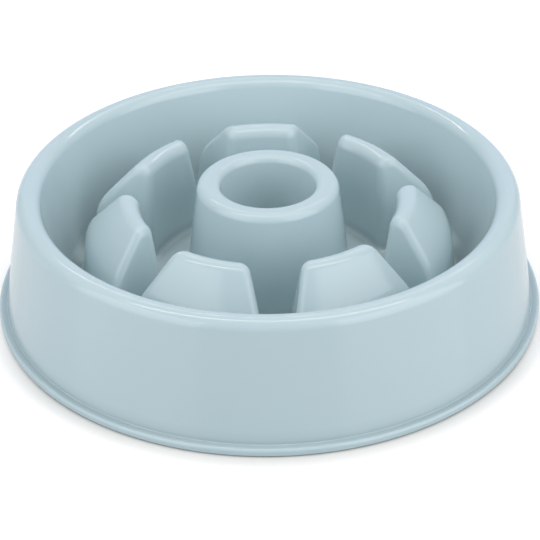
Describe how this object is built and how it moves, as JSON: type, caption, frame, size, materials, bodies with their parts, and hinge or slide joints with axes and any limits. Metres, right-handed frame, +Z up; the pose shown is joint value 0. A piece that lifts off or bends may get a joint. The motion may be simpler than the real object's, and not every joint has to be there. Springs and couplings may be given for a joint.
{
  "type": "slow feeder pet bowl",
  "caption": "Round slow feeder bowl: flared wall with base flange, centre ring with a cup, sloped wedge baffles with channels between them, rubber feet below.",
  "frame": {"origin": "on the standing surface, under the middle of the bowl", "axes": "+Z up, along the bowl's axis; +Y through the middle of one baffle, away from the picture's camera"},
  "size_m": [0.3, 0.3, 0.0698],
  "materials": {
    "bowl": "smooth glossy pale grey-blue polypropylene",
    "foot": "matt grey thermoplastic rubber"
  },
  "bodies": {
    "root": {"outer_wall_1": "bowl", "outer_wall_2": "bowl", "outer_wall_3": "bowl", "outer_wall_4": "bowl", "outer_wall_5": "bowl", "outer_wall_6": "bowl", "outer_wall_7": "bowl", "basin_1": "bowl", "basin_2": "bowl", "basin_3": "bowl", "basin_4": "bowl", "basin_5": "bowl", "basin_6": "bowl", "basin_7": "bowl", "centre_ring_1": "bowl", "centre_ring_2": "bowl", "centre_ring_3": "bowl", "centre_ring_4": "bowl", "centre_ring_5": "bowl", "centre_ring_6": "bowl", "centre_ring_7": "bowl", "baffle_1": "bowl", "baffle_2": "bowl", "baffle_3": "bowl", "baffle_4": "bowl", "baffle_5": "bowl", "baffle_6": "bowl", "baffle_7": "bowl", "foot_post_1": "bowl", "foot_post_2": "bowl", "foot_post_3": "bowl", "foot_post_4": "bowl", "foot_post_5": "bowl", "foot_post_6": "bowl", "foot_post_7": "bowl", "foot_1": "foot", "foot_2": "foot", "foot_3": "foot", "foot_4": "foot", "foot_5": "foot", "foot_6": "foot", "foot_7": "foot"}
  },
  "joints": []
}
